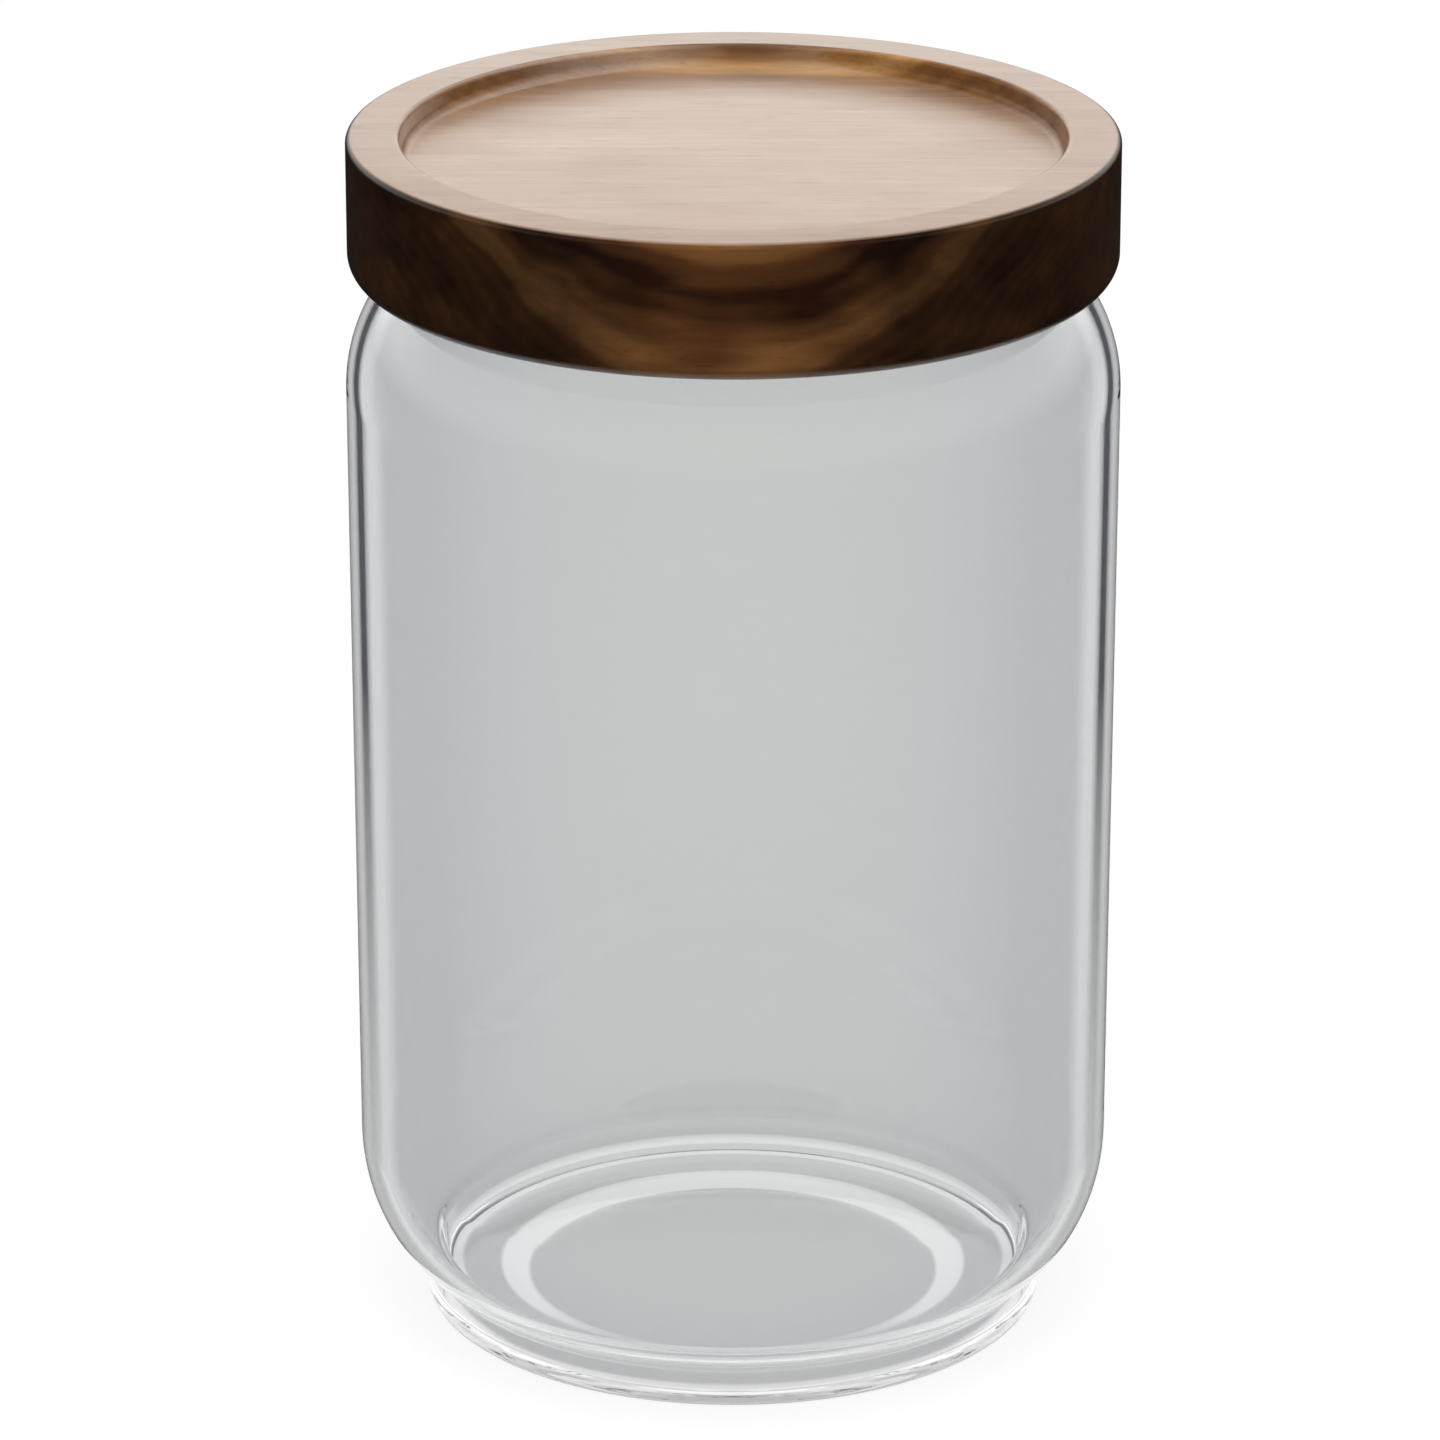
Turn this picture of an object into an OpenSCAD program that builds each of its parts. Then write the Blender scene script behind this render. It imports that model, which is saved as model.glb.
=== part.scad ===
// Stackable food canister: a thin glass jar with a turned wooden cap, a wooden plug under the
// cap and a lipped silicone ring on the plug that seals against the bore of the neck.
// Millimetres, +Z up. The origin is on the table, in the middle of the foot.

/* [Glass body] */
// Diameter of the body where it is widest, just under the upper shoulder
body_d = 100; // [96:0.5:110]
// How much smaller the body's radius is at its lower end
taper = 0.3; // [0:0.05:1]
// Thickness of the wall of the body and of both shoulders
wall = 2.2; // [1.6:0.1:3]
// Height of the glass from the table to the rim
jar_h = 148.5; // [110:0.5:220]
// Inward reach of the upper shoulder's full quarter curve
shoulder_w = 18.1; // [14:0.1:24]
// Height of the upper shoulder's full quarter curve
shoulder_h = 19.6; // [14:0.1:26]
// Inward reach of the lower shoulder's full quarter curve
knuckle_w = 15.1; // [12:0.1:20]
// Height of the lower shoulder's full quarter curve
knuckle_h = 19.8; // [14:0.1:26]

/* [Glass neck] */
// How far the bore of the neck stands in from the widest part of the body
mouth_inset = 8.4; // [8:0.1:12]
// Thickness of the wall of the neck
neck_wall = 2.4; // [2:0.1:3]
// Height of the straight neck above the upper shoulder
neck_h = 7.3; // [6.5:0.1:11]
// Radius of both edges of the fire-polished rim
rim_r = 0.8; // [0.3:0.1:0.95]

/* [Glass foot] */
// Outside diameter of the foot ring
foot_d = 82.3; // [76:0.1:86]
// Height of the foot ring
foot_h = 5.5; // [4:0.1:9]
// Thickness of the wall of the foot ring
foot_wall = 1.8; // [1.4:0.1:2.6]
// Radius of the foot's lower outer edge
foot_r_edge = 0.5; // [0.2:0.1:1.2]
// Width of the flat ring that the foot stands on, measured from its outside
stand_w = 7.2; // [6.5:0.1:12]
// Thickness of the glass of the base
base_t = 1.5; // [1.2:0.1:3]
// Radius of the curve inside, between the base and the foot ring
heel_r = 1.2; // [0.8:0.1:2.2]
// How far the middle of the base is domed up off the table
punt_rise = 1.1; // [0.4:0.1:3]

/* [Wooden cap] */
// How far the cap's side stands in from the widest part of the glass
lid_inset = 0.4; // [0:0.1:2]
// Height of the cap
lid_h = 18; // [15:0.5:26]
// Radius of the lower outer edge of the cap
lid_fillet = 3; // [1:0.1:3.2]
// Radius of the upper outer edge of the cap
lid_arris = 0.8; // [0.2:0.1:2]
// Gap around the glass neck inside the cap
neck_gap = 1.4; // [0.3:0.1:1.6]
// Height of the neck that stays clear below the cap
skirt_gap = 0.8; // [0.3:0.1:1.5]
// Radius of the inner edge at the bottom of the cap
skirt_edge = 0.4; // [0.1:0.1:0.5]
// Depth of the dish in the top of the cap
dish_depth = 3; // [2.4:0.1:5]
// Gap around the foot of a canister that stands in the dish
stack_gap = 1.45; // [1:0.05:2.5]
// Radius of the upper edge of the dish
dish_lip = 0.6; // [0.2:0.1:0.8]
// Radius of the curve between the dish's wall and its floor
dish_cove = 1.4; // [0.5:0.1:1.8]

/* [Plug and seal] */
// Height of the plug under the cap
plug_h = 9; // [8:0.5:14]
// Gap between the plug and the bore of the neck
plug_gap = 1.2; // [0.6:0.1:2]
// Radius of the plug's lower edge
plug_edge = 1.2; // [0.3:0.1:2]
// Height of the plug below the seal groove
groove_up = 2.5; // [2.2:0.1:3]
// Height of the seal groove
groove_h = 5; // [4:0.1:5]
// Depth of the seal groove
groove_depth = 2; // [1.5:0.1:4]
// Clearance of the seal ring in its groove
seal_play = 0.1; // [0.05:0.01:0.2]
// Running clearance between the seal's lips and the bore of the neck
seal_run = 0.05; // [0.02:0.01:0.1]
// How far the band of the seal stays inside the side of the plug
seal_band_in = 0.3; // [0.1:0.1:0.6]
// Number of lips on the seal
lips = 3; // [2:1:3]
// Thickness of a lip where it leaves the band
lip_root = 1; // [0.6:0.1:1.1]
// Thickness of a lip at its tip
lip_tip = 0.5; // [0.3:0.1:0.6]
// How far a lip's tip stands above its root
lip_rise = 0.2; // [0:0.05:0.25]

/* [Hidden] */
$fn = 144;
arc_steps = 18;
dome_steps = 24;
corner_steps = 5;
corner_angle = 4;

body_r = body_d / 2;
low_r = body_r - taper;
foot_r = foot_d / 2;
mouth_r = body_r - mouth_inset;
neck_r = mouth_r + neck_wall;

// Both shoulders are stretches of an ellipse: its centre and the angle at which it ends.
neck_z = jar_h - neck_h;
shoulder_x = body_r - shoulder_w;
shoulder_end = acos((neck_r - shoulder_x) / shoulder_w);
shoulder_z = neck_z - shoulder_h * sin(shoulder_end);
bore_end = acos((mouth_r - shoulder_x) / (shoulder_w - wall));
knuckle_x = low_r - knuckle_w;
knuckle_end = acos((foot_r - knuckle_x) / knuckle_w);
knuckle_z = foot_h + knuckle_h * sin(knuckle_end);
inner_foot_r = foot_r - foot_wall;
inner_end = acos((inner_foot_r - knuckle_x) / (knuckle_w - wall));
neck_bend = 1;
foot_bend = 0.8;
dome_r = foot_r - stand_w;

lid_r = body_r - lid_inset;
lid_z = neck_z + skirt_gap;
lid_top = lid_z + lid_h;
socket_r = neck_r + neck_gap;
dish_r = foot_r + stack_gap;
dish_z = lid_top - dish_depth;

plug_r = mouth_r - plug_gap;
plug_z = jar_h - plug_h;
groove_r = plug_r - groove_depth;
groove_z = plug_z + groove_up;
seal_in_r = groove_r + seal_play;
seal_band_r = plug_r - seal_band_in;
seal_lip_r = mouth_r - seal_run;
seal_z = groove_z + seal_play;
seal_h = groove_h - 2 * seal_play;
lip_pitch = (seal_h - lip_root - lip_rise) / (lips - 1);

// Points along an ellipse with its centre at c, from angle a0 to a1
function curve(c, rx, rz, a0, a1, n = arc_steps) =
    [for (i = [0:n]) let (a = a0 + (a1 - a0) * i / n) [c[0] + rx * cos(a), c[1] + rz * sin(a)]];

// Points that round off the corner b between a and c
function corner(a, b, c, n = corner_steps) =
    [for (i = [0:n]) let (t = i / n) a * (1 - t) * (1 - t) + b * 2 * t * (1 - t) + c * t * t];

// A point on an ellipse with its centre at c
function on_curve(c, rx, rz, a) = [c[0] + rx * cos(a), c[1] + rz * sin(a)];

function glass_outside() =
    let (
        knuckle_c = [knuckle_x, knuckle_z],
        shoulder_c = [shoulder_x, shoulder_z],
        foot_corner_a = -knuckle_end + corner_angle,
        neck_corner_a = shoulder_end - corner_angle
    )
    concat(
        curve([foot_r - foot_r_edge, foot_r_edge], foot_r_edge, foot_r_edge, -90, 0, corner_steps),
        corner([foot_r, foot_h - foot_bend], [foot_r, foot_h],
            on_curve(knuckle_c, knuckle_w, knuckle_h, foot_corner_a)),
        curve(knuckle_c, knuckle_w, knuckle_h, foot_corner_a, 0),
        curve(shoulder_c, shoulder_w, shoulder_h, 0, neck_corner_a),
        corner(on_curve(shoulder_c, shoulder_w, shoulder_h, neck_corner_a), [neck_r, neck_z],
            [neck_r, neck_z + neck_bend]),
        curve([neck_r - rim_r, jar_h - rim_r], rim_r, rim_r, 0, 90, corner_steps)
    );

function glass_inside() =
    let (
        knuckle_c = [knuckle_x, knuckle_z],
        shoulder_c = [shoulder_x, shoulder_z],
        shoulder_in_w = shoulder_w - wall,
        shoulder_in_h = shoulder_h - wall,
        knuckle_in_w = knuckle_w - wall,
        knuckle_in_h = knuckle_h - wall,
        bore_corner_a = bore_end - corner_angle,
        heel_corner_a = -inner_end + corner_angle,
        bore_corner = on_curve(shoulder_c, shoulder_in_w, shoulder_in_h, bore_end),
        heel_corner = on_curve(knuckle_c, knuckle_in_w, knuckle_in_h, -inner_end)
    )
    concat(
        curve([mouth_r + rim_r, jar_h - rim_r], rim_r, rim_r, 90, 180, corner_steps),
        corner(bore_corner + [0, neck_bend], bore_corner,
            on_curve(shoulder_c, shoulder_in_w, shoulder_in_h, bore_corner_a)),
        curve(shoulder_c, shoulder_in_w, shoulder_in_h, bore_corner_a, 0),
        curve(knuckle_c, knuckle_in_w, knuckle_in_h, 0, heel_corner_a),
        corner(on_curve(knuckle_c, knuckle_in_w, knuckle_in_h, heel_corner_a), heel_corner,
            heel_corner - [0, foot_bend]),
        curve([inner_foot_r - heel_r, base_t + heel_r], heel_r, heel_r, 0, -90, corner_steps)
    );

// The middle of the base is a shallow dome that starts at height z, at the edge of the flat ring.
function dome(z) =
    [for (i = [0:dome_steps]) let (r = dome_r * i / dome_steps)
        [r, z + punt_rise * (1 + cos(180 * r / dome_r)) / 2]];

function backwards(points) = [for (i = [len(points) - 1:-1:0]) points[i]];

module glass_jar() {
    outline = concat(dome(0), glass_outside(), glass_inside(), backwards(dome(base_t)));
    color([0.78, 0.80, 0.82, 0.35])
        rotate_extrude()
            polygon(outline);
}

module wooden_lid() {
    outline = concat(
        [[0, jar_h], [socket_r, jar_h]],
        curve([socket_r + skirt_edge, lid_z + skirt_edge], skirt_edge, skirt_edge, 180, 270,
            corner_steps),
        curve([lid_r - lid_fillet, lid_z + lid_fillet], lid_fillet, lid_fillet, -90, 0),
        curve([lid_r - lid_arris, lid_top - lid_arris], lid_arris, lid_arris, 0, 90, corner_steps),
        curve([dish_r + dish_lip, lid_top - dish_lip], dish_lip, dish_lip, 90, 180, corner_steps),
        curve([dish_r - dish_cove, dish_z + dish_cove], dish_cove, dish_cove, 0, -90, corner_steps),
        [[0, dish_z]]
    );
    color([0.42, 0.26, 0.15])
        rotate_extrude()
            polygon(outline);
}

module lid_plug() {
    outline = concat(
        [[0, plug_z]],
        curve([plug_r - plug_edge, plug_z + plug_edge], plug_edge, plug_edge, -90, 0, corner_steps),
        [
            [plug_r, groove_z],
            [groove_r, groove_z],
            [groove_r, groove_z + groove_h],
            [plug_r, groove_z + groove_h],
            [plug_r, jar_h],
            [0, jar_h]
        ]
    );
    color([0.55, 0.38, 0.23])
        rotate_extrude()
            polygon(outline);
}

module seal_ring() {
    color([0.90, 0.90, 0.88])
        rotate_extrude()
            union() {
                translate([seal_in_r, seal_z])
                    square([seal_band_r - seal_in_r, seal_h]);
                for (i = [0:lips - 1])
                    translate([0, seal_z + i * lip_pitch])
                        polygon([
                            [seal_in_r, 0],
                            [seal_band_r, 0],
                            [seal_lip_r, lip_rise + (lip_root - lip_tip) / 2],
                            [seal_lip_r, lip_rise + (lip_root + lip_tip) / 2],
                            [seal_band_r, lip_root],
                            [seal_in_r, lip_root]
                        ]);
            }
}

glass_jar();
wooden_lid();
lid_plug();
seal_ring();
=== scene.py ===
import bpy
import bmesh
import math
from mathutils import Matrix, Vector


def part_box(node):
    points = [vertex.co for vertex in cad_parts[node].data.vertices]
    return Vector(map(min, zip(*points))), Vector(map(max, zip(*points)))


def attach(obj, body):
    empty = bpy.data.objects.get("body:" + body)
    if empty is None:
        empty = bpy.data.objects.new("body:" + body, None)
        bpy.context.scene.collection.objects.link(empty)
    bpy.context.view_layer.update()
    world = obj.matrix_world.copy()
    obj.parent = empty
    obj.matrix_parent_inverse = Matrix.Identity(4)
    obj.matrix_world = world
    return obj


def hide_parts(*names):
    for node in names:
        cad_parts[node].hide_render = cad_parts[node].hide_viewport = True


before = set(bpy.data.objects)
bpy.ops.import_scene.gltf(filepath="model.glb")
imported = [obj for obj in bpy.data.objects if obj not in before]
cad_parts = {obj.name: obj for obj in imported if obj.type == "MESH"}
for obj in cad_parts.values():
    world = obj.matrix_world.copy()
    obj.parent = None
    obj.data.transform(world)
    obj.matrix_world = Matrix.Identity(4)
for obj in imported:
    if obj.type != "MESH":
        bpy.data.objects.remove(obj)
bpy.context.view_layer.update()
print("frame loaded with", len(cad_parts), "nodes")

# The whole object is turned or blown round, so each piece is an outline in millimetres,
# radius and height, that is swept around Z. Heights come from the frame.
jarLow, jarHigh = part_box("glass_jar")
lidLow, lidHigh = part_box("wooden_lid")
plugLow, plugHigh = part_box("lid_plug")
sealLow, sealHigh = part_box("seal_ring")


mmPerMetre = 1000.0


def inMillimetres(metres):
    return metres * mmPerMetre


def linearColour(hexCode):
    # sRGB hex to the linear values that the shaders work in
    channels = [int(hexCode[i:i + 2], 16) / 255.0 for i in (1, 3, 5)]
    linear = [c / 12.92 if c <= 0.04045 else ((c + 0.055) / 1.055) ** 2.4 for c in channels]
    return (*linear, 1.0)


def arc(centre, reach, start, stop, steps):
    # points on an ellipse, reach is (radial, vertical), angles in degrees
    turns = [math.radians(start + (stop - start) * i / steps) for i in range(steps + 1)]
    return [(centre[0] + reach[0] * math.cos(t), centre[1] + reach[1] * math.sin(t)) for t in turns]


def easedCorner(first, tip, last, steps=8):
    # a corner rounded by a quadratic curve from first to last
    points = []
    for i in range(steps + 1):
        t = i / steps
        weights = ((1 - t) * (1 - t), 2 * t * (1 - t), t * t)
        points.append(tuple(sum(w * p[k] for w, p in zip(weights, (first, tip, last)))
                            for k in range(2)))
    return points


def withHolds(outline, hold, closed):
    # extra points just inside the ends of straight runs, so that smooth shading keeps them flat
    held = []
    last = len(outline) if closed else len(outline) - 1
    for i in range(last):
        a = outline[i]
        b = outline[(i + 1) % len(outline)]
        held.append(a)
        run = math.dist(a, b)
        if run > 4 * hold:
            for share in (hold / run, 1 - hold / run):
                held.append((a[0] + (b[0] - a[0]) * share, a[1] + (b[1] - a[1]) * share))
    if not closed:
        held.append(outline[-1])
    return held


def turned(name, outline, sides=256, hold=0.15, closed=False):
    # sweeps an outline around Z into one closed mesh
    outline = withHolds(outline, hold, closed)
    mesh = bmesh.new()
    rings = []
    for radius, height in outline:
        if radius < 1e-6:
            rings.append([mesh.verts.new((0, 0, height / mmPerMetre))])
            continue
        ring = []
        for i in range(sides):
            angle = 2 * math.pi * i / sides
            ring.append(mesh.verts.new((radius * math.cos(angle) / mmPerMetre,
                                        radius * math.sin(angle) / mmPerMetre,
                                        height / mmPerMetre)))
        rings.append(ring)
    pairs = list(zip(rings, rings[1:]))
    if closed:
        pairs.append((rings[-1], rings[0]))
    for low, high in pairs:
        for i in range(sides):
            j = (i + 1) % sides
            corners = [low[i % len(low)], low[j % len(low)],
                       high[j % len(high)], high[i % len(high)]]
            mesh.faces.new(list(dict.fromkeys(corners)))
    bmesh.ops.recalc_face_normals(mesh, faces=mesh.faces)
    data = bpy.data.meshes.new(name)
    mesh.to_mesh(data)
    mesh.free()
    data.shade_smooth()
    piece = bpy.data.objects.new(name, data)
    bpy.context.scene.collection.objects.link(piece)
    return piece


# Glass jar

jar = {
    "bodyRadius": inMillimetres(jarHigh.x),
    "height": inMillimetres(jarHigh.z),
    "taper": 0.3,            # the body is this much slimmer at its lower end
    "wall": 2.2,
    "shoulderReach": (18.1, 19.6),
    "knuckleReach": (15.1, 19.8),
    "boreRadius": 41.6,
    "neckWall": 2.4,
    "neckHeight": 7.3,
    "rimRadius": 0.8,
    "footRadius": 41.15,
    "footHeight": 5.5,
    "footEdge": 0.5,
    "footWall": 1.8,
    "heelRadius": 0.8,
    "baseThickness": 1.5,
    "puntRise": 1.1,         # the base domes up in the middle
    "puntRadius": 33.95,
}


def jarOutline(s):
    # the arcs of shoulder and knuckle end where they meet the neck and the foot
    lowRadius = s["bodyRadius"] - s["taper"]
    neckRadius = s["boreRadius"] + s["neckWall"]
    neckZ = s["height"] - s["neckHeight"]
    top = s["shoulderReach"]
    low = s["knuckleReach"]
    topIn = (top[0] - s["wall"], top[1] - s["wall"])
    lowIn = (low[0] - s["wall"], low[1] - s["wall"])
    topX = s["bodyRadius"] - top[0]
    lowX = lowRadius - low[0]
    innerFoot = s["footRadius"] - s["footWall"]
    topEnd = math.degrees(math.acos((neckRadius - topX) / top[0]))
    lowEnd = math.degrees(math.acos((s["footRadius"] - lowX) / low[0]))
    boreEnd = math.degrees(math.acos((s["boreRadius"] - topX) / topIn[0]))
    heelEnd = math.degrees(math.acos((innerFoot - lowX) / lowIn[0]))
    topC = (topX, neckZ - top[1] * math.sin(math.radians(topEnd)))
    lowC = (lowX, s["footHeight"] + low[1] * math.sin(math.radians(lowEnd)))
    ease = 4                 # degrees of arc given up to the soft corner next to it
    bend = 0.8               # mm of foot given up to it
    neckBend = 1.0           # mm of neck
    edge = s["footEdge"]
    rim = s["rimRadius"]
    heel = s["heelRadius"]
    outside = arc((s["footRadius"] - edge, edge), (edge, edge), -90, 0, 8)
    outside += easedCorner((s["footRadius"], s["footHeight"] - bend),
                           (s["footRadius"], s["footHeight"]),
                           arc(lowC, low, -lowEnd + ease, 0, 1)[0])
    outside += arc(lowC, low, -lowEnd + ease, 0, 40)[1:]
    outside += arc(topC, top, 0, topEnd - ease, 40)
    outside += easedCorner(outside[-1], (neckRadius, neckZ), (neckRadius, neckZ + neckBend))[1:]
    outside += arc((neckRadius - rim, s["height"] - rim), (rim, rim), 0, 90, 8)
    inside = arc((s["boreRadius"] + rim, s["height"] - rim), (rim, rim), 90, 180, 8)
    boreTip = arc(topC, topIn, boreEnd, 0, 1)[0]
    heelTip = arc(lowC, lowIn, -heelEnd, 0, 1)[0]
    inside += easedCorner((boreTip[0], boreTip[1] + neckBend), boreTip,
                          arc(topC, topIn, boreEnd - ease, 0, 1)[0])
    inside += arc(topC, topIn, boreEnd - ease, 0, 40)[1:]
    inside += arc(lowC, lowIn, 0, -heelEnd + ease, 40)
    inside += easedCorner(inside[-1], heelTip, (heelTip[0], heelTip[1] - bend))[1:]
    inside += arc((innerFoot - heel, s["baseThickness"] + heel), (heel, heel), 0, -90, 12)

    def dome(z):
        steps = 24
        return [(s["puntRadius"] * i / steps,
                 z + s["puntRise"] * (1 + math.cos(math.pi * i / steps)) / 2)
                for i in range(steps + 1)]

    return dome(0) + outside + inside + dome(s["baseThickness"])[::-1]


glassJar = turned("glass_jar_blown", jarOutline(jar), hold=0.3, sides=240)
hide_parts("glass_jar")
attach(glassJar, "jar")
print("jar blown:", len(glassJar.data.vertices), "points")

# Wooden cap

cap = {
    "radius": inMillimetres(lidHigh.x),
    "bottom": inMillimetres(lidLow.z),
    "top": inMillimetres(lidHigh.z),
    "seat": jar["height"],   # the cap rests on the rim of the glass
    "fillet": 3.0,
    "arris": 0.8,
    "socketRadius": 45.4,
    "skirtEdge": 0.4,
    "dishRadius": 42.6,
    "dishDepth": 3.0,
    "dishLip": 0.6,
    "dishCove": 1.4,
}


def capOutline(s):
    dishFloor = s["top"] - s["dishDepth"]
    edge, fillet, arris = s["skirtEdge"], s["fillet"], s["arris"]
    lip, cove = s["dishLip"], s["dishCove"]
    return ([(0, s["seat"]), (s["socketRadius"], s["seat"])]
            + arc((s["socketRadius"] + edge, s["bottom"] + edge), (edge, edge), 180, 270, 6)
            + arc((s["radius"] - fillet, s["bottom"] + fillet), (fillet, fillet), -90, 0, 16)
            + arc((s["radius"] - arris, s["top"] - arris), (arris, arris), 0, 90, 10)
            + arc((s["dishRadius"] + lip, s["top"] - lip), (lip, lip), 90, 180, 8)
            + arc((s["dishRadius"] - cove, dishFloor + cove), (cove, cove), 0, -90, 12)
            + [(0, dishFloor)])


woodenCap = turned("cap_turned", capOutline(cap))
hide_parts("wooden_lid")
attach(woodenCap, "lid")
print("cap turned")

# Plug and seal

plug = {
    "radius": inMillimetres(plugHigh.x),
    "bottom": inMillimetres(plugLow.z),
    "top": inMillimetres(plugHigh.z),
    "edge": 1.2,
    "grooveBottom": 2.5,
    "grooveHeight": 5.0,
    "grooveDepth": 2.0,
}


def plugOutline(s):
    floor = s["bottom"] + s["grooveBottom"]
    roof = floor + s["grooveHeight"]
    inner = s["radius"] - s["grooveDepth"]
    return ([(0, s["bottom"])]
            + arc((s["radius"] - s["edge"], s["bottom"] + s["edge"]),
                  (s["edge"], s["edge"]), -90, 0, 8)
            + [(s["radius"], floor), (inner, floor), (inner, roof), (s["radius"], roof),
               (s["radius"], s["top"]), (0, s["top"])])


seal = {
    "innerRadius": plug["radius"] - plug["grooveDepth"] + 0.1,   # clear of the groove
    "bandRadius": plug["radius"] - 0.3,                          # sunk into it
    "lipRadius": inMillimetres(sealHigh.x),
    "bottom": inMillimetres(sealLow.z),
    "top": inMillimetres(sealHigh.z),
    "lips": 3,
    "lipRoot": 1.0,
    "lipTip": 0.5,
    "lipRise": 0.2,
    "lipSweep": 80,          # degrees of arc to each side of a lip's tip
}


def sealOutline(s):
    pitch = (s["top"] - s["bottom"] - s["lipRoot"] - s["lipRise"]) / (s["lips"] - 1)
    points = [(s["innerRadius"], s["bottom"])]
    for i in range(s["lips"]):
        foot = s["bottom"] + i * pitch
        middle = foot + s["lipRise"] + s["lipRoot"] / 2
        half = s["lipTip"] / 2
        points.append((s["bandRadius"], foot))
        points += arc((s["lipRadius"] - half, middle), (half, half),
                      -s["lipSweep"], s["lipSweep"], 6)
        points.append((s["bandRadius"], foot + s["lipRoot"]))
    points.append((s["bandRadius"], s["top"]))
    points.append((s["innerRadius"], s["top"]))
    return points


lidPlug = turned("plug_turned", plugOutline(plug), hold=0.08)
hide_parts("lid_plug")
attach(lidPlug, "lid")
sealRing = turned("seal_moulded", sealOutline(seal), hold=0.05, closed=True)
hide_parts("seal_ring")
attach(sealRing, "seal")
print("plug and seal made")


# Materials

def addNode(tree, kind, inputs=None, **settings):
    node = tree.nodes.new("ShaderNode" + kind)
    for name, value in settings.items():
        setattr(node, name, value)
    for socket, value in (inputs or {}).items():
        if isinstance(value, bpy.types.NodeSocket):
            tree.links.new(value, node.inputs[socket])
        else:
            node.inputs[socket].default_value = value
    return node


def newMaterial(name):
    material = bpy.data.materials.new(name)
    material.use_nodes = True
    tree = material.node_tree
    tree.nodes.clear()
    return material, tree


def setStops(ramp, shades):
    # a shade is an sRGB hex colour or a plain number for a grey
    stops = ramp.color_ramp.elements
    while len(stops) < len(shades):
        stops.new(0.5)
    for stop, (position, shade) in zip(stops, sorted(shades)):
        stop.position = position
        isHex = isinstance(shade, str)
        stop.color = linearColour(shade) if isHex else (shade, shade, shade, 1.0)


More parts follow.
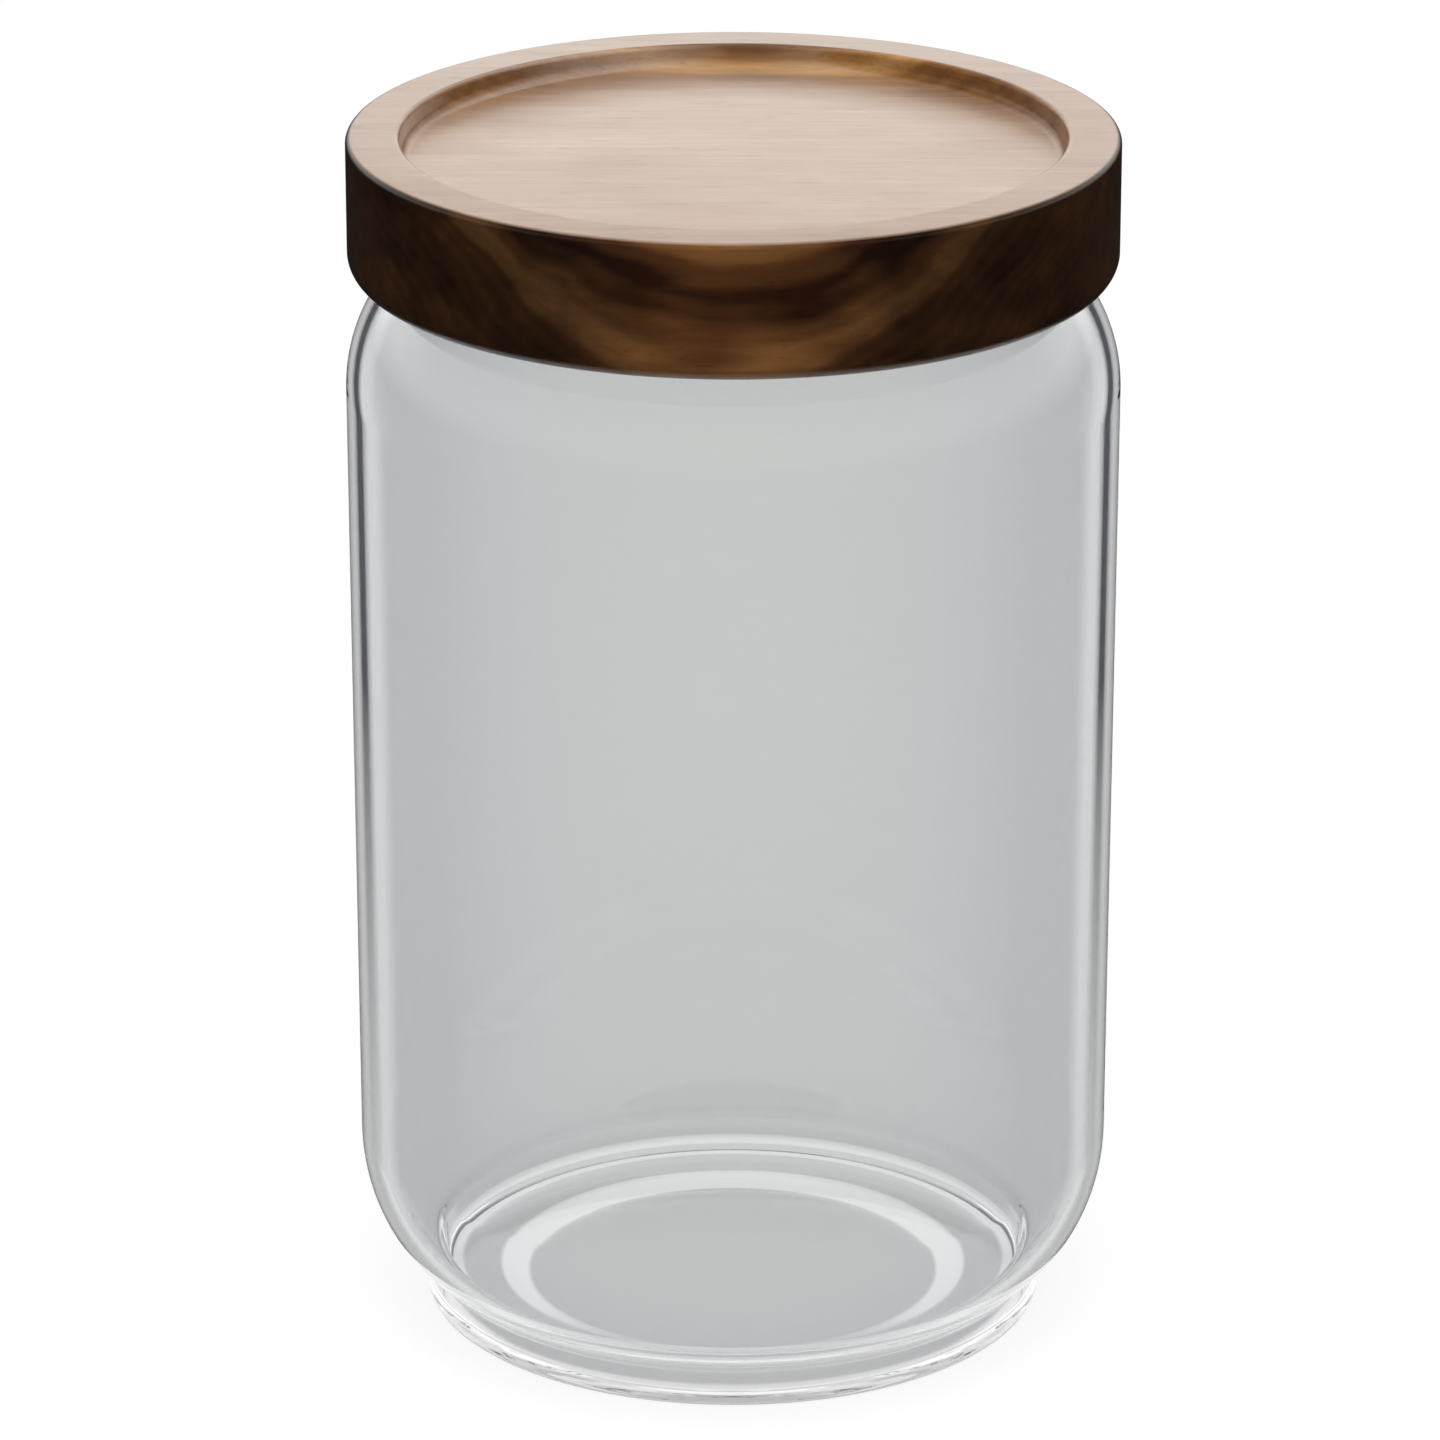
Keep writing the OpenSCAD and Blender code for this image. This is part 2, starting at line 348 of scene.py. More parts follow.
def borosilicateBlown():
    # Blown borosilicate: thin, even and a little smoky, so that a white room reads pale grey
    # through it. Where the wall is seen edge on, its tint draws a painted highlight, a pale
    # line, with a painted reflection, a dark line, outside it
    look = {
        # tints of the inner and the outer face, from seen square on, 0, to seen edge on, 1;
        # the white towards edge on is a painted highlight
        "wallIn": [(0.0, "#e1e2e1"), (0.17, "#dee0e0"), (0.42, "#d6d7da"), (0.67, "#dadbdd"),
                   (0.78, "#ffffff"), (0.87, "#ffffff"), (0.93, "#e4e4e8")],
        "wallOut": [(0.0, "#e1e2e1"), (0.17, "#dee0e0"), (0.42, "#d6d7da"), (0.6, "#dadbdd"),
                    (0.66, "#ffffff"), (1.0, "#ffffff")],
        # a painted reflection: a dark line on the outer face where it is seen nearly edge on, and
        # its colour
        "paintedDarkLine": [(0.695, "#000000"), (0.74, "#ffffff"), (0.785, "#ffffff"), (0.835, "#000000")],
        "paintedDarkLineColour": "#26262b",
        "paintedDarkLineHeights": (0.004, 0.09),      # metres: the painted dark line gets stronger between these
        "paintedDarkLineStrengths": (0.25, 1.0),
        "base": "#e8e9e9",                 # the thin base, which gets no painted dark line
        "baseHeights": (0.0035, 0.0065),   # metres: the base's tint gives way to the wall's
        # painted shade: the foot is tinted darker than the rest of the glass
        "foot": "#b8b8ba",
        "footRadii": (0.0398, 0.0404),     # metres off the axis, where the foot's tint begins
        "paintedFootHighlight": (0.0016, 0.0030),      # metres up the foot, between which a pale line is painted on it as a highlight
        "paintedFootHighlightColour": "#e6e6e6",
        # inner and outer radius in metres of the rings painted pale on the base as highlights,
        # how far each one's inner edge lies off the axis, and how strong a painted glow each gives
        # off; the second one's glow also lightens dark reflections round the edge of the base
        "rings": [(0.0277, 0.0317, 0.0024, 0.2), (0.0374, 0.0402, 0.0, 0.17)],
        "paintedRingColour": "#ffffff",
        "ringFade": (-0.027, -0.018, 0.3), # a painted ring weakens to the last number between these Y
        "edge": 0.0003,                    # metres over which the lines and rings soften
        # metres: the painted glow sits on the upper face of the base, from the first pair to the
        # second
        "paintedGlowHeights": ((0.0012, 0.0014), (0.0028, 0.0034)),
        "ior": 1.47,
        "roughness": 0.0,
    }
    material, tree = newMaterial("borosilicate_blown")
    edge = look["edge"]
    place = addNode(tree, "TexCoord").outputs
    spot = addNode(tree, "SeparateXYZ", {0: place["Object"]}).outputs
    height = spot["Z"]
    level = addNode(tree, "VectorMath", {0: place["Object"], 1: (1, 1, 0)},
                    operation="MULTIPLY").outputs[0]
    fromAxis = addNode(tree, "VectorMath", {0: level}, operation="LENGTH").outputs["Value"]
    outward = addNode(tree, "VectorMath", {0: level, 1: place["Normal"]},
                      operation="DOT_PRODUCT").outputs["Value"]
    isOutside = addNode(tree, "Math", {0: outward, 1: 0.0}, operation="GREATER_THAN").outputs[0]
    edgeOn = addNode(tree, "LayerWeight", {"Blend": 0.5}).outputs["Facing"]
    shades = {}
    for side in ("wallIn", "wallOut", "paintedDarkLine"):
        ramp = addNode(tree, "ValToRGB", {"Fac": edgeOn})
        setStops(ramp, look[side])
        shades[side] = ramp.outputs["Color"]

    # the wall with its painted dark reflection line
    paintedDarkLineHere = addNode(tree, "MapRange", {
        0: height, 1: look["paintedDarkLineHeights"][0], 2: look["paintedDarkLineHeights"][1],
        3: look["paintedDarkLineStrengths"][0], 4: look["paintedDarkLineStrengths"][1]}).outputs[0]
    paintedDarkLineHere = addNode(tree, "Math", {0: paintedDarkLineHere, 1: isOutside}, operation="MULTIPLY").outputs[0]
    paintedDarkLineHere = addNode(tree, "Math", {0: paintedDarkLineHere, 1: shades["paintedDarkLine"]},
                       operation="MULTIPLY").outputs[0]
    wall = addNode(tree, "Mix", {0: isOutside, 6: shades["wallIn"], 7: shades["wallOut"]},
                   data_type="RGBA").outputs[2]
    wall = addNode(tree, "Mix", {0: paintedDarkLineHere, 6: wall, 7: linearColour(look["paintedDarkLineColour"])},
                   data_type="RGBA").outputs[2]

    # the base with its painted highlight rings and their painted glow
    base = linearColour(look["base"])
    paintedGlow = 0.0
    (rise, full), (fall, gone) = look["paintedGlowHeights"]
    above = addNode(tree, "MapRange", {0: height, 1: rise, 2: full}).outputs[0]
    below = addNode(tree, "MapRange", {0: height, 1: fall, 2: gone, 3: 1.0, 4: 0.0}).outputs[0]
    upperFace = addNode(tree, "Math", {0: below, 1: above}, operation="MULTIPLY").outputs[0]
    faint, strong, weakest = look["ringFade"]
    fade = addNode(tree, "MapRange", {0: spot["Y"], 1: faint, 2: strong, 3: weakest}).outputs[0]
    for inner, outer, shift, ringGlow in look["rings"]:
        shifted = addNode(tree, "VectorMath", {0: level, 1: (0, shift, 0)}).outputs[0]
        shifted = addNode(tree, "VectorMath", {0: shifted}, operation="LENGTH").outputs["Value"]
        beyond = addNode(tree, "MapRange", {
            0: shifted, 1: inner - edge, 2: inner + edge}).outputs[0]
        within = addNode(tree, "MapRange", {
            0: fromAxis, 1: outer - edge, 2: outer + edge, 3: fade, 4: 0.0}).outputs[0]
        onRing = addNode(tree, "Math", {0: beyond, 1: within}, operation="MULTIPLY").outputs[0]
        base = addNode(tree, "Mix", {0: onRing, 6: base, 7: linearColour(look["paintedRingColour"])},
                       data_type="RGBA").outputs[2]
        onRing = addNode(tree, "Math", {0: onRing, 1: upperFace}, operation="MULTIPLY").outputs[0]
        paintedGlow = addNode(tree, "Math", {0: onRing, 1: ringGlow, 2: paintedGlow},
                         operation="MULTIPLY_ADD").outputs[0]

    # the foot, tinted darker as painted shade, with its painted highlight line
    onFoot = addNode(tree, "MapRange", {
        0: fromAxis, 1: look["footRadii"][0], 2: look["footRadii"][1]}).outputs[0]
    lineLow, lineHigh = look["paintedFootHighlight"]
    aboveLine = addNode(tree, "MapRange", {0: height, 1: lineLow, 2: lineLow + edge}).outputs[0]
    belowLine = addNode(tree, "MapRange", {
        0: height, 1: lineHigh, 2: lineHigh + edge, 3: 1.0, 4: 0.0}).outputs[0]
    onFootHighlight = addNode(tree, "Math", {0: aboveLine, 1: belowLine}, operation="MULTIPLY").outputs[0]
    foot = addNode(tree, "Mix", {0: onFootHighlight, 6: linearColour(look["foot"]),
                                 7: linearColour(look["paintedFootHighlightColour"])},
                   data_type="RGBA").outputs[2]
    base = addNode(tree, "Mix", {0: onFoot, 6: base, 7: foot}, data_type="RGBA").outputs[2]

    onWall = addNode(tree, "MapRange", {
        0: height, 1: look["baseHeights"][0], 2: look["baseHeights"][1]}).outputs[0]
    tint = addNode(tree, "Mix", {0: onWall, 6: base, 7: wall}, data_type="RGBA").outputs[2]
    shader = addNode(tree, "BsdfPrincipled", {
        "Base Color": tint,
        "Roughness": look["roughness"],
        "IOR": look["ior"],
        "Transmission Weight": 1.0,
        # a weak painted glow in the rings, though the glass is no lamp
        "Emission Color": (1, 1, 1, 1),
        "Emission Strength": paintedGlow,
    })
    addNode(tree, "OutputMaterial", {"Surface": shader.outputs[0]})
    return material


def acaciaTurned(name, look):
    # Flat-sawn acacia under a satin lacquer: bands that bend over the pith below the board, dark
    # end grain where the fibres meet the side, with painted shade there too, and a top that is
    # painted pale as top light and sheen
    material, tree = newMaterial(name)
    place = addNode(tree, "TexCoord").outputs
    inMm = addNode(tree, "VectorMath", {0: place["Object"], "Scale": mmPerMetre},
                   operation="SCALE").outputs[0]
    spot = addNode(tree, "SeparateXYZ", {0: inMm}).outputs
    normal = addNode(tree, "SeparateXYZ", {0: place["Normal"]}).outputs
    level = addNode(tree, "VectorMath", {0: inMm, 1: (1, 1, 0)}, operation="MULTIPLY").outputs[0]
    fromAxis = addNode(tree, "VectorMath", {0: level}, operation="LENGTH").outputs["Value"]
    noiseLow, noiseHigh = look["noiseReach"]

    def grain(length, width, detail=2.0, away=0.0):
        # noise stretched along the fibres, which run along X
        stretched = addNode(tree, "Mapping", {
            "Vector": inMm, "Location": (away, away, away),
            "Scale": (1 / length, 1 / width, 1 / width)}).outputs[0]
        return addNode(tree, "TexNoise", {"Vector": stretched, "Scale": 1.0, "Detail": detail,
                                          "Roughness": look["noiseRoughness"]}).outputs["Fac"]

    # bands and fine rings by the distance from the pith, which wanders
    wobble = addNode(tree, "MapRange", {
        0: grain(*look["drift"]), 1: noiseLow, 2: noiseHigh,
        3: -look["wobble"], 4: look["wobble"]}, clamp=False).outputs[0]
    fromPith = addNode(tree, "Mapping", {
        "Vector": inMm, "Location": (0, -look["pith"][0], -look["pith"][1]),
        "Rotation": (0, 0, look["lean"])}).outputs[0]
    fromPith = addNode(tree, "VectorMath", {0: fromPith, 1: (0, 1, 1)},
                       operation="MULTIPLY").outputs[0]
    distance = addNode(tree, "VectorMath", {0: fromPith}, operation="LENGTH").outputs["Value"]
    ringWay = addNode(tree, "Math", {0: distance, 1: wobble}, operation="ADD").outputs[0]
    nearest, furthest = look["bandReach"]
    bandWay = addNode(tree, "MapRange", {0: ringWay, 1: nearest, 2: furthest}).outputs[0]
    bands = addNode(tree, "ValToRGB", {"Fac": bandWay})
    setStops(bands, [((at - nearest) / (furthest - nearest), shade)
                     for at, shade in look["bands"]])
    rings = addNode(tree, "Math", {0: ringWay, 1: 2 * math.pi / look["ringWidth"]},
                    operation="MULTIPLY").outputs[0]
    rings = addNode(tree, "Math", {0: rings}, operation="SINE").outputs[0]
    light = addNode(tree, "Math", {0: rings, 1: look["ringDepth"], 2: bands.outputs["Color"]},
                    operation="MULTIPLY_ADD").outputs[0]

    # painted light: the dish is drawn paler, which shows most on its shaded wall
    rimOut, rimIn = look["dishEdge"]
    withinRim = addNode(tree, "MapRange", {0: fromAxis, 1: rimOut, 2: rimIn}).outputs[0]
    aboveBoard = addNode(tree, "MapRange", {
        0: spot["Z"], 1: look["dishHeights"][0], 2: look["dishHeights"][1]}).outputs[0]
    inDish = addNode(tree, "Math", {0: withinRim, 1: aboveBoard}, operation="MULTIPLY").outputs[0]
    light = addNode(tree, "Math", {0: inDish, 1: look["paintedDishLight"], 2: light},
                    operation="MULTIPLY_ADD").outputs[0]

    streaks = addNode(tree, "MapRange", {
        0: grain(*look["streaks"], detail=4.0, away=7.0), 1: noiseLow, 2: noiseHigh,
        3: -1, 4: 1}, clamp=False).outputs[0]
    blotches = addNode(tree, "MapRange", {
        0: grain(*look["blotches"], away=31.0), 1: noiseLow, 2: noiseHigh,
        3: -1, 4: 1}, clamp=False).outputs[0]
    # painted top light and sheen: what faces up is drawn pale, with only the streaks and
    # blotches left in it
    low, high = look["paintedTopAcross"]
    paintedTopLevel = addNode(tree, "MapRange", {
        0: spot["Y"], 1: -look["boardHalf"], 2: look["boardHalf"], 3: low, 4: high}).outputs[0]
    lights = []
    for start in (light, paintedTopLevel):
        for pattern, depth in ((streaks, look["streakDepth"]), (blotches, look["blotchDepth"])):
            start = addNode(tree, "Math", {0: pattern, 1: depth, 2: start},
                            operation="MULTIPLY_ADD").outputs[0]
        lights.append(start)
    ramp = addNode(tree, "ValToRGB", {"Fac": lights[0]})
    setStops(ramp, look["shades"])
    onRim = addNode(tree, "MapRange", {
        0: fromAxis, 1: rimIn, 2: rimOut, 3: 0.0, 4: -look["rimDarker"]}).outputs[0]
    paintedTopLevel = addNode(tree, "Math", {0: lights[1], 1: onRim}, operation="ADD").outputs[0]
    paintedTopRamp = addNode(tree, "ValToRGB", {"Fac": paintedTopLevel})
    setStops(paintedTopRamp, look["paintedTopShades"])

    # a painted shadow of the dish's wall on its floor, and patches of painted light on the wall
    # that depend on which way it faces
    wallWay = addNode(tree, "MapRange", {0: normal["X"], 1: -1.0, 2: 1.0}).outputs[0]
    paintedWallRamp = addNode(tree, "ValToRGB", {"Fac": wallWay})
    setStops(paintedWallRamp, look["paintedWallLight"])
    towardWall = addNode(tree, "MapRange", {
        0: fromAxis, 1: look["paintedShadowRadii"][0], 2: look["paintedShadowRadii"][1]}).outputs[0]
    towardBack = addNode(tree, "MapRange", {
        0: spot["Y"], 1: look["paintedShadowAcross"][0], 2: look["paintedShadowAcross"][1]}).outputs[0]
    inPaintedShadow = addNode(tree, "Math", {0: towardWall, 1: towardBack},
                       operation="MULTIPLY").outputs[0]
    inPaintedShadow = addNode(tree, "Math", {0: inPaintedShadow, 1: inDish}, operation="MULTIPLY").outputs[0]
    facingUp = addNode(tree, "MapRange", {
        0: normal["Z"], 1: look["paintedTopFrom"][0], 2: look["paintedTopFrom"][1]}).outputs[0]
    # how much of the painted top light the painted shadow leaves
    lit = addNode(tree, "MapRange", {0: inPaintedShadow, 3: 1, 4: 1 - look["paintedWallShadow"]}).outputs[0]
    paintedLight = addNode(tree, "Math", {0: facingUp, 1: lit}, operation="MULTIPLY").outputs[0]
    paintedWallPatches = addNode(tree, "Math", {0: paintedWallRamp.outputs["Color"], 1: inDish},
                      operation="MULTIPLY").outputs[0]
    paintedLight = addNode(tree, "Math", {0: paintedLight, 1: paintedWallPatches}, operation="MAXIMUM").outputs[0]
    paintedLight = addNode(tree, "Math", {0: paintedLight, 1: look["paintedTopShare"]},
                       operation="MULTIPLY").outputs[0]
    mixed = addNode(tree, "Mix", {0: paintedLight, 6: ramp.outputs["Color"],
                                  7: paintedTopRamp.outputs["Color"]}, data_type="RGBA").outputs[2]

    # fibres, pores, and the dark end grain with painted shade on the sides
    fibres = grain(*look["fibres"], detail=4.0)
    pores = addNode(tree, "MapRange", {
        0: grain(*look["pores"], detail=1.0, away=3.0), 1: look["poreFrom"][0],
        2: look["poreFrom"][1]}).outputs[0]
    shade = addNode(tree, "MapRange", {
        0: fibres, 1: look["fibreReach"][0], 2: look["fibreReach"][1],
        3: 1 - look["fibreDepth"], 4: 1 + look["fibreDepth"]}).outputs[0]
    shade = addNode(tree, "Math", {0: pores, 1: -look["poreDepth"], 2: shade},
                    operation="MULTIPLY_ADD").outputs[0]
    endOn = addNode(tree, "Math", {0: normal["X"], 1: normal["X"]},
                    operation="MULTIPLY").outputs[0]
    endGrainAndSideShade = addNode(tree, "MapRange", {
        0: endOn, 1: 0.0, 2: look["endGrainAndSideShadeFull"], 3: 1.0, 4: look["endGrainAndSideShade"]}).outputs[0]
    endGrainAndSideShade = addNode(tree, "Math", {0: endGrainAndSideShade, 1: inDish}, operation="MAXIMUM").outputs[0]
    shade = addNode(tree, "Math", {0: shade, 1: endGrainAndSideShade}, operation="MULTIPLY").outputs[0]
    colour = addNode(tree, "VectorMath", {0: mixed, "Scale": shade}, operation="SCALE").outputs[0]
    relief = addNode(tree, "Math", {0: pores, 1: -look["poreRelief"], 2: fibres},
                     operation="MULTIPLY_ADD").outputs[0]
    bump = addNode(tree, "Bump", {"Strength": look["bump"], "Distance": look["bumpDistance"],
                                  "Height": relief}).outputs[0]
    roughness = addNode(tree, "MapRange", {
        0: fibres, 1: look["sheenReach"][0], 2: look["sheenReach"][1],
        3: look["roughness"][0], 4: look["roughness"][1]}).outputs[0]
    shader = addNode(tree, "BsdfPrincipled", {
        "Base Color": colour,
        "Roughness": roughness,
        "Specular IOR Level": look["specular"],
        "Normal": bump,
        "Coat Weight": look["coat"],
        "Coat Roughness": look["coatRoughness"],
        "Coat IOR": look["coatIor"],
    })
    addNode(tree, "OutputMaterial", {"Surface": shader.outputs[0]})
    return material


def siliconeMoulded():
    # Food-grade silicone: milky, soft to the light and half dull
    look = {
        "colour": "#e6e6e1",
        "roughness": (0.37, 0.5),
        "cloudScale": 220.0,         # clouds of about 4.5 mm in the finish
        "scatter": 0.35,
        "scatterReach": 0.003,       # metres that light runs inside it
        "ior": 1.41,
    }
    material, tree = newMaterial("silicone_moulded")
    place = addNode(tree, "TexCoord").outputs["Object"]
    cloud = addNode(tree, "TexNoise", {"Vector": place, "Scale": look["cloudScale"]})
    roughness = addNode(tree, "MapRange", {0: cloud.outputs["Fac"], 3: look["roughness"][0],
                                           4: look["roughness"][1]}).outputs[0]
    shader = addNode(tree, "BsdfPrincipled", {
        "Base Color": linearColour(look["colour"]),
        "Roughness": roughness,
        "IOR": look["ior"],
        "Subsurface Weight": look["scatter"],
        "Subsurface Radius": (look["scatterReach"],) * 3,
        "Subsurface Scale": 1.0,
    })
    addNode(tree, "OutputMaterial", {"Surface": shader.outputs[0]})
    return material


acacia = {
    "pith": (0.0, 121.0),        # Y and Z in mm: the board comes from just above the pith
    "lean": 0.06,
    "drift": (45.0, 16.0),       # mm along and across the fibres over which a ring wanders
    "wobble": 1.6,               # mm
    "noiseReach": (0.3, 0.7),    # nearly all of the noise lies between these
    "noiseRoughness": 0.55,
    "bandReach": (20, 70),       # mm from the pith that the bands cover
    # how pale the wood is, from 0 to 1, at each distance in mm from the pith
    "bands": [(20, 0.2), (36, 0.24), (44, 0.2), (48, 0.12), (52.0, 0.2), (54.0, 0.56),
              (55.4, 0.46), (56.4, 0.3), (57.4, 0.12), (58.9, 0.0), (60.3, 0.2), (62.2, 0.4),
              (64, 0.38)],
    "ringWidth": 1.7,            # mm
    "ringDepth": 0.04,
    # painted top light and sheen: how far what faces up is drawn towards these pale shades
    "paintedTopShare": 0.92,
    "paintedTopShades": [(0.0, "#9a7c64"), (0.5, "#bfa795"), (1.0, "#d3c1b2")],
    "paintedTopAcross": (0.45, 0.95),    # the painted top light is stronger towards +Y, the back
    "boardHalf": 50,                 # mm
    "rimDarker": 0.18,               # the rim gets this much less of the painted top light than the dish
    "paintedWallShadow": 0.8,                # painted shadow of the dish's wall on its floor
    "paintedShadowRadii": (26, 41.5),        # mm off the axis between which that painted shadow grows
    "paintedShadowAcross": (-5, 26),         # mm across the board between which it grows
    # patches of painted light round the wall of the dish, from where it faces left, 0, to where
    # it faces right, 1
    "paintedWallLight": [(0.34, 0.0), (0.38, 0.2), (0.5, 0.04), (0.62, 0.5), (0.74, 0.5), (0.84, 0.08),
                 (0.93, 0.0), (0.98, 0.6), (1.0, 0.95)],
    "paintedDishLight": 0.38,           # painted light on the dish, which shows most on its wall
    "dishEdge": (43.4, 43.2),    # mm off the axis: the rim ends and the dish begins
    "dishHeights": (155, 156),   # mm: only wood above these can be in the dish
    "streaks": (50.0, 3.2),      # mm
    "streakDepth": 0.09,
    "blotches": (18.0, 11.0),    # mm
    "blotchDepth": 0.1,
    "shades": [(0.0, "#2e1302"), (0.3, "#593412"), (0.6, "#86592a"), (0.85, "#a87b43"),
               (1.0, "#ba905a")],
    "fibres": (14.0, 0.55),      # mm; drawn coarser than the real 0.1 mm, so that they show
    "fibreReach": (0.25, 0.75),  # the noise that gives the darkest and the palest fibre
    "fibreDepth": 0.1,
    "pores": (5.0, 0.28),        # mm
    "poreFrom": (0.62, 0.72),    # only the peaks of the noise are pores
    "poreDepth": 0.2,
    "endGrainAndSideShade": 0.36,            # how bright wood is that is cut across the fibres: real dark end grain and painted side shade
    "endGrainAndSideShadeFull": 0.17,        # square of the lean along the fibres from which it is that dark
    "paintedTopFrom": (0.7, 0.97),   # the upward lean of the surface between which the painted top light comes in
    "bump": 0.2,
    "bumpDistance": 0.0001,      # metres
    "poreRelief": 0.8,           # how deep a pore is beside the height of a fibre
    "roughness": (0.45, 0.6),
    "sheenReach": (0.2, 0.8),    # the noise that gives the smoothest and the roughest fibre
    "specular": 0.0,             # all the gloss comes from the lacquer
    "coat": 1.0,
    "coatRoughness": 0.28,
    "coatIor": 1.45,
}
# the plug is the same wood, only oiled, and pale all over
plugAcacia = dict(acacia, pith=(8.0, 100.0), coat=0.2, endGrainAndSideShade=0.85,
                  paintedTopFrom=(-1.2, -1.1), specular=0.3)

glassJar.data.materials.append(borosilicateBlown())
woodenCap.data.materials.append(acaciaTurned("acacia_turned_lacquered", acacia))
lidPlug.data.materials.append(acaciaTurned("acacia_plug_oiled", plugAcacia))
sealRing.data.materials.append(siliconeMoulded())
print("materials ready")

# Room

room = {
    "floorDrop": 0.0002,         # metres under the foot, so that the two don't flicker
    "floorSize": 12.0,
    "floorPale": 0.85,           # how pale the paper is to the light that it gives back to the room
    "floorShade": 0.15,          # how much of what is seen of it is lit, and so holds the shadow
    "floorGlow": 0.9,
    "fill": 0.35,
    "boxSize": 1.3,
    "boxHeight": 1.1,
    "boxFront": 0.3,
    "boxPower": 12.0,
    "wallGlow": (0.35, 1.2),     # what a reflection sees of the wall in front and of the one behind
    "glowReach": 0.6,            # Y of the way looked at, between which the one turns to the other
    "wallShades": [(0.0, 0.03), (0.2, 1.0), (0.35, 1.0), (0.65, 0.12)],   # from the horizon up
    "clearing": 46.5,            # mm around the jar where reflections show the pale floor
    "tableReach": 9000,          # mm
    "tableDrop": 0.1,            # mm below the foot
    "tableGlow": 0.02,
    "bounces": 64,               # the glass leads light round inside it, so the paths are long
}


def seenDirectly(tree):
    # 1 for rays that show the room itself: to the camera, in a reflection or through glass
    path = addNode(tree, "LightPath")
    first = addNode(tree, "Math", {0: path.outputs["Is Camera Ray"],
                                   1: path.outputs["Is Glossy Ray"]}, operation="MAXIMUM")
    both = addNode(tree, "Math", {0: first.outputs[0],
                                  1: path.outputs["Is Transmission Ray"]}, operation="MAXIMUM")
    # light on its way to a matt surface meets the lit room, also where it passes the glass
    unlit = addNode(tree, "Math", {0: path.outputs["Diffuse Depth"], 1: 0.5},
                    operation="LESS_THAN")
    return addNode(tree, "Math", {0: both.outputs[0], 1: unlit.outputs[0]},
                   operation="MULTIPLY").outputs[0]


def paintFloor():
    material, tree = newMaterial("floor_paper")
    seen = seenDirectly(tree)
    pale = addNode(tree, "MapRange", {0: seen, 3: room["floorPale"], 4: room["floorShade"]})
    paint = addNode(tree, "BsdfDiffuse", {"Color": pale.outputs[0]})
    glow = addNode(tree, "Math", {0: seen, 1: room["floorGlow"]}, operation="MULTIPLY")
    light = addNode(tree, "Emission", {"Strength": glow.outputs[0]})
    both = addNode(tree, "AddShader", {0: paint.outputs[0], 1: light.outputs[0]})
    addNode(tree, "OutputMaterial", {"Surface": both.outputs[0]})
    return material


def panel(name, corners):
    data = bpy.data.meshes.new(name)
    data.from_pydata(corners, [], [list(range(len(corners)))])
    made = bpy.data.objects.new(name, data)
    bpy.context.scene.collection.objects.link(made)
    return made


half = room["floorSize"] / 2
drop = -room["floorDrop"]
floor = panel("floor", [(-half, -half, drop), (half, -half, drop),
                        (half, half, drop), (-half, half, drop)])
floor.data.materials.append(paintFloor())

world = bpy.data.worlds.new("studio")
bpy.context.scene.world = world
world.use_nodes = True
world.node_tree.nodes.clear()
tree = world.node_tree
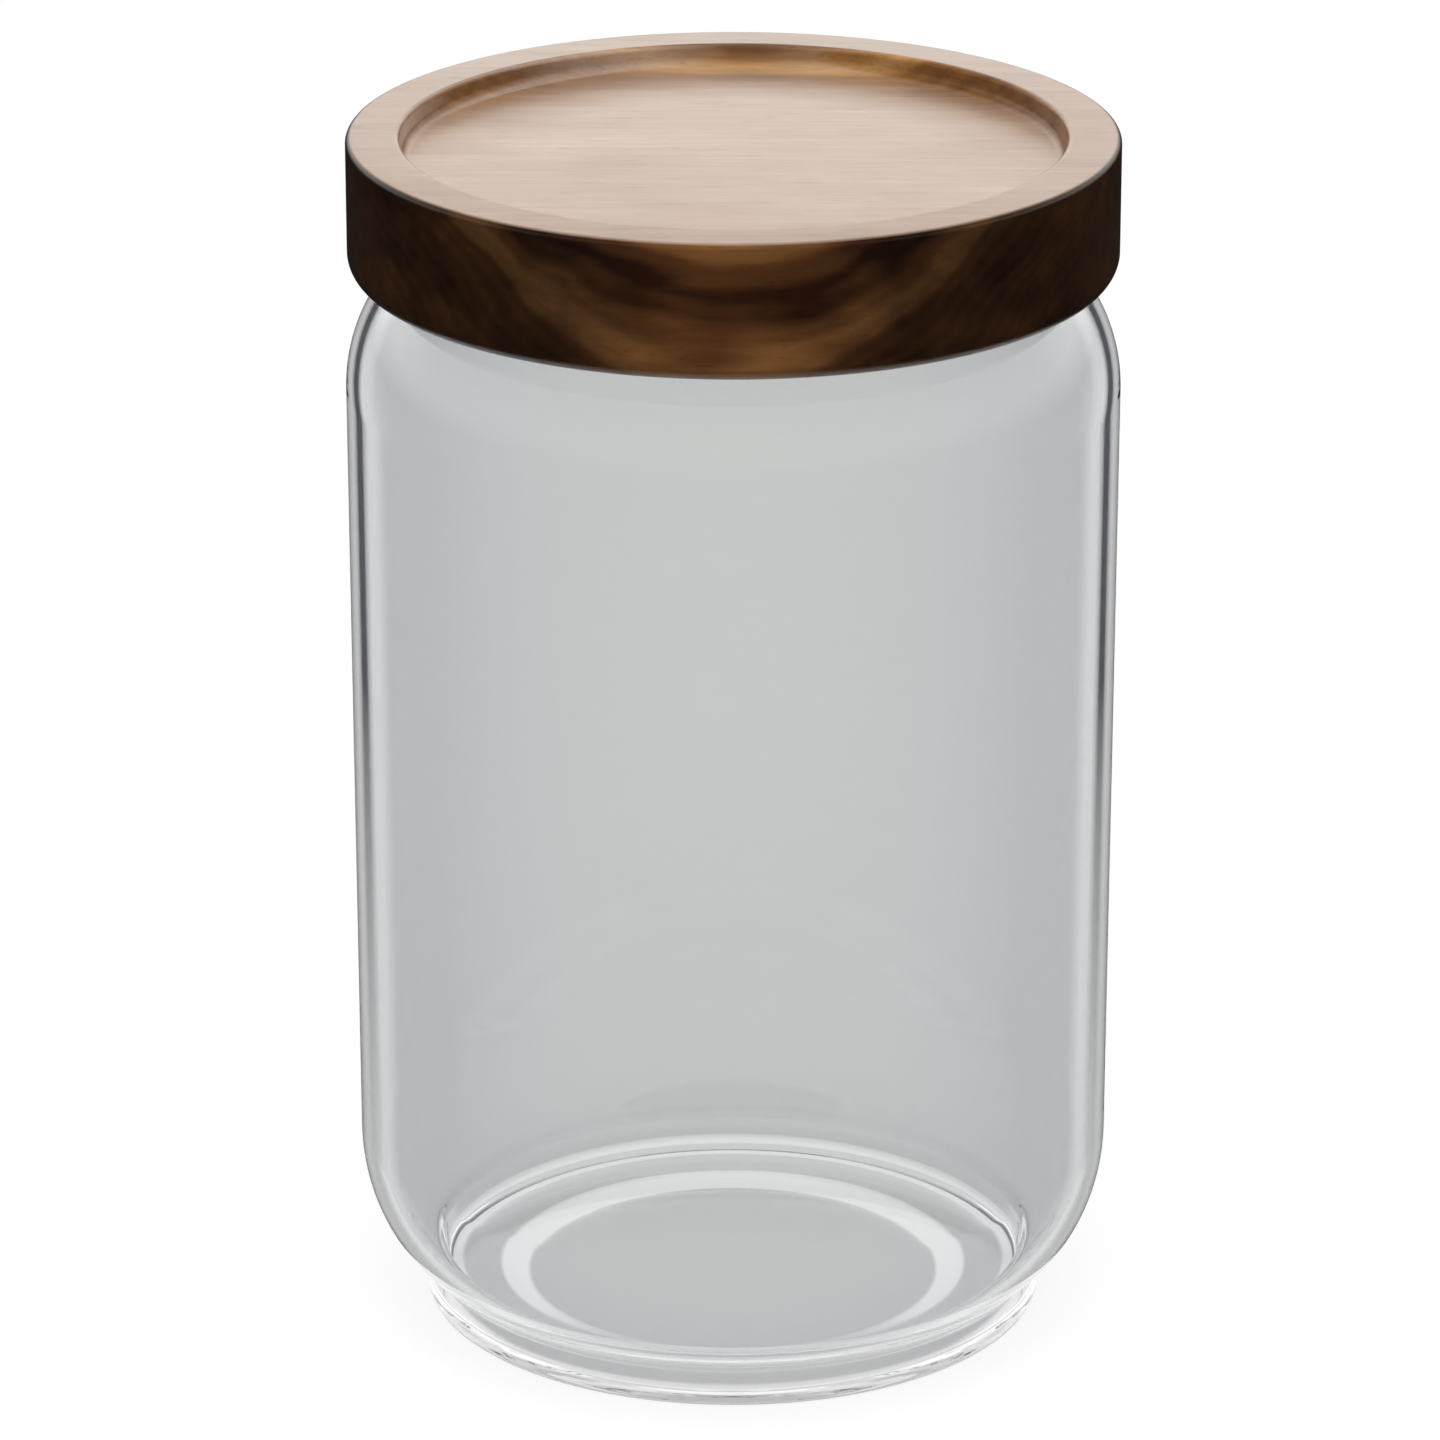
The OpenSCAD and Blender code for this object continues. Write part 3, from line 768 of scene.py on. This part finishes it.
# seen directly the room is white; in reflections it is a pale wall all round that fades overhead
way = addNode(tree, "TexCoord").outputs["Generated"]
way = addNode(tree, "SeparateXYZ", {0: way})
reflected = addNode(tree, "ValToRGB", {"Fac": way.outputs["Z"]})
setStops(reflected, room["wallShades"])
glow = addNode(tree, "MapRange", {0: way.outputs["Y"], 1: -room["glowReach"], 2: room["glowReach"],
                                  3: room["wallGlow"][0], 4: room["wallGlow"][1]})
reflected = addNode(tree, "Math", {0: reflected.outputs["Color"], 1: glow.outputs[0]},
                    operation="MULTIPLY").outputs[0]
path = addNode(tree, "LightPath").outputs
mirrored = addNode(tree, "Math", {0: path["Is Glossy Ray"], 1: path["Is Transmission Ray"]},
                   operation="SUBTRACT").outputs[0]
direct = addNode(tree, "MapRange", {0: seenDirectly(tree), 3: room["fill"], 4: 1.0}).outputs[0]
strength = addNode(tree, "Mix", {0: mirrored, 2: direct, 3: reflected},
                   data_type="FLOAT").outputs[0]
sky = addNode(tree, "Background", {"Color": (1, 1, 1, 1), "Strength": strength})
addNode(tree, "OutputWorld", {"Surface": sky.outputs[0]})

lamp = bpy.data.lights.new("softbox", "AREA")
lamp.shape = "SQUARE"
lamp.size = room["boxSize"]
lamp.energy = room["boxPower"]
softbox = bpy.data.objects.new("softbox", lamp)
bpy.context.scene.collection.objects.link(softbox)
softbox.location = (0, -room["boxFront"], room["boxHeight"])
softbox.rotation_euler = (math.atan2(room["boxFront"], room["boxHeight"]), 0, 0)
softbox.visible_camera = False
softbox.visible_glossy = False
softbox.visible_transmission = False

# A dark table that only reflections show keeps the sides of the cap and of the glass clear and deep
table = turned("card_table", [(room["clearing"], -room["tableDrop"]),
                              (room["tableReach"], -room["tableDrop"])], sides=64)
cloth, tree = newMaterial("dark_cloth")
glow = addNode(tree, "Emission", {"Strength": room["tableGlow"]})
addNode(tree, "OutputMaterial", {"Surface": glow.outputs[0]})
table.data.materials.append(cloth)
table.visible_camera = False
table.visible_diffuse = False
table.visible_transmission = False
table.visible_shadow = False
paths = bpy.context.scene.cycles
paths.max_bounces = paths.glossy_bounces = paths.transmission_bounces = room["bounces"]
print("room lit")

# Camera

view = {
    "back": 0.9105,              # metres in front of the jar's axis
    "height": 0.41974,
    "tilt": 20.467,              # degrees below level
    "turn": 0.1085,              # degrees to the left, so that the jar stands a little to the right
    "lens": 184.78,              # mm, on a 36 mm wide sensor
}
cameraData = bpy.data.cameras.new("camera")
cameraData.sensor_width = 36.0
cameraData.lens = view["lens"]
camera = bpy.data.objects.new("camera", cameraData)
bpy.context.scene.collection.objects.link(camera)
camera.location = (0, -view["back"], view["height"])
camera.rotation_euler = (math.radians(90 - view["tilt"]), 0, math.radians(view["turn"]))
bpy.context.scene.camera = camera
bpy.context.scene.view_settings.view_transform = "Standard"
